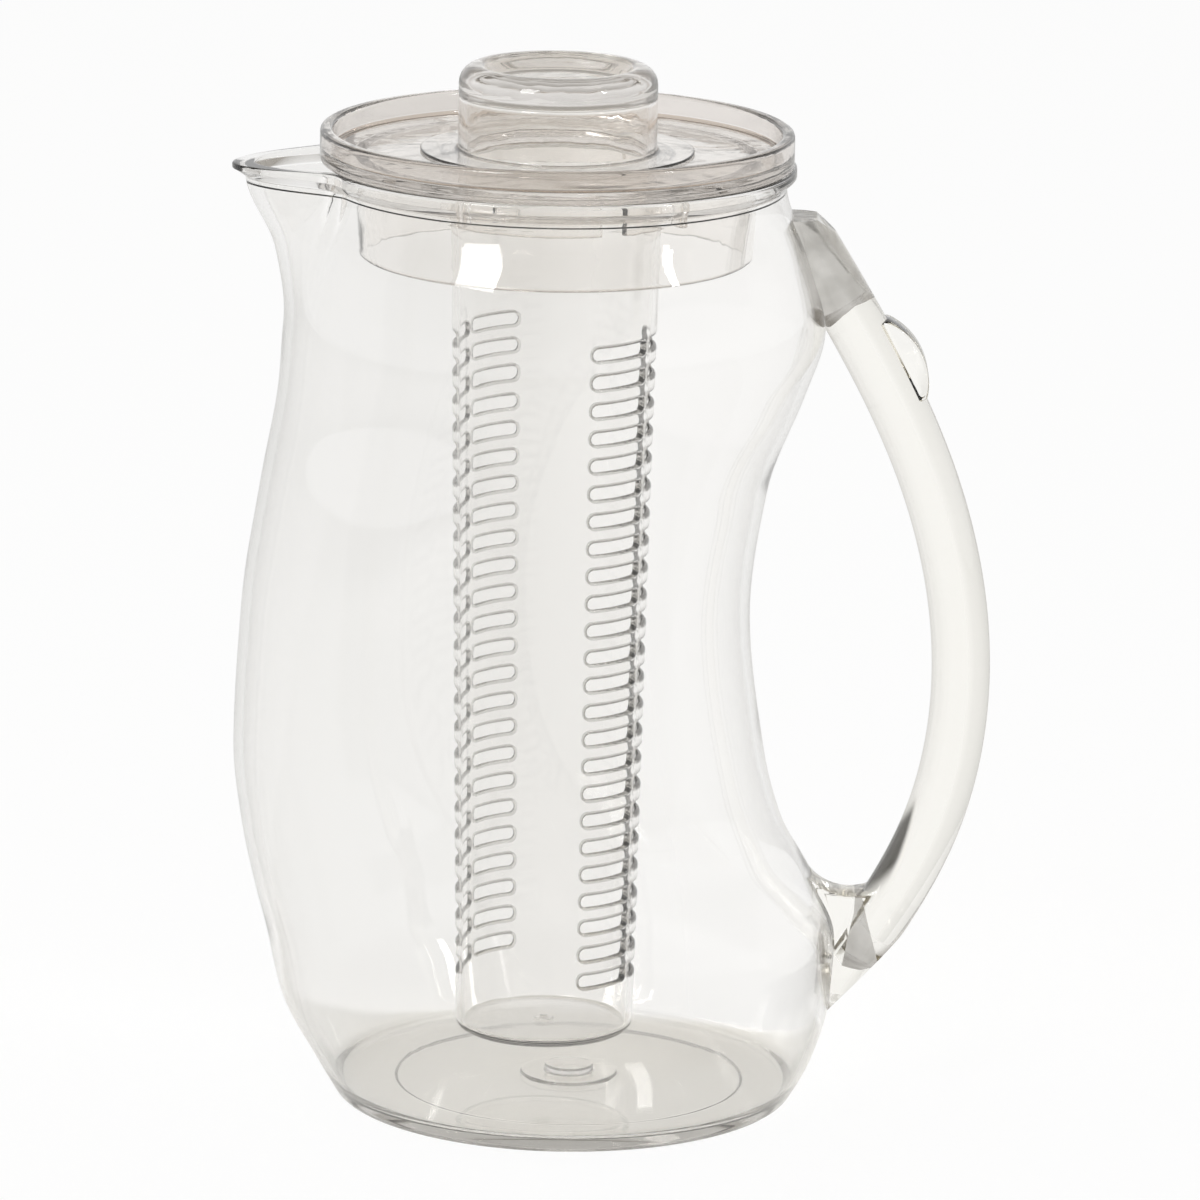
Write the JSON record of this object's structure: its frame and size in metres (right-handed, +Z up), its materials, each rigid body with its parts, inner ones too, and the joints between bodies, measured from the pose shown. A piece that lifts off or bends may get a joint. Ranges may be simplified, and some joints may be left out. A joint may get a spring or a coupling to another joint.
{
  "type": "fruit infuser pitcher",
  "caption": "Clear pouring pitcher with a beaked spout, a bowed side handle, a lift-off lid with a round knob and a slotted infuser tube hung from the lid.",
  "frame": {"origin": "middle of the recessed underside, level with the standing ring, on the table", "axes": "+Z up, +X towards the handle, the spout on the -X side"},
  "size_m": [0.1983, 0.1496, 0.2721],
  "materials": {
    "clear_shell": "clear polished",
    "clear_handle": "clear polished",
    "clear_lid": "clear polished",
    "clear_knob": "clear polished",
    "clear_tube": "clear polished"
  },
  "bodies": {
    "pitcher": {"pitcher_body": "clear_shell", "handle": "clear_handle"},
    "lid_unit": {"lid": "clear_lid", "knob": "clear_knob"},
    "infuser": {"infuser_tube": "clear_tube"}
  },
  "joints": [
    {"name": "lid_lift", "type": "slide", "parent": "pitcher", "child": "lid_unit", "axis": [0, 0, 1], "range_m": [0, 0.24]},
    {"name": "infuser_turn", "type": "hinge", "parent": "lid_unit", "child": "infuser", "pos_m": [-0.0068, 0, 0.24], "axis": [0, 0, 1], "range_deg": [0, 55]}
  ]
}
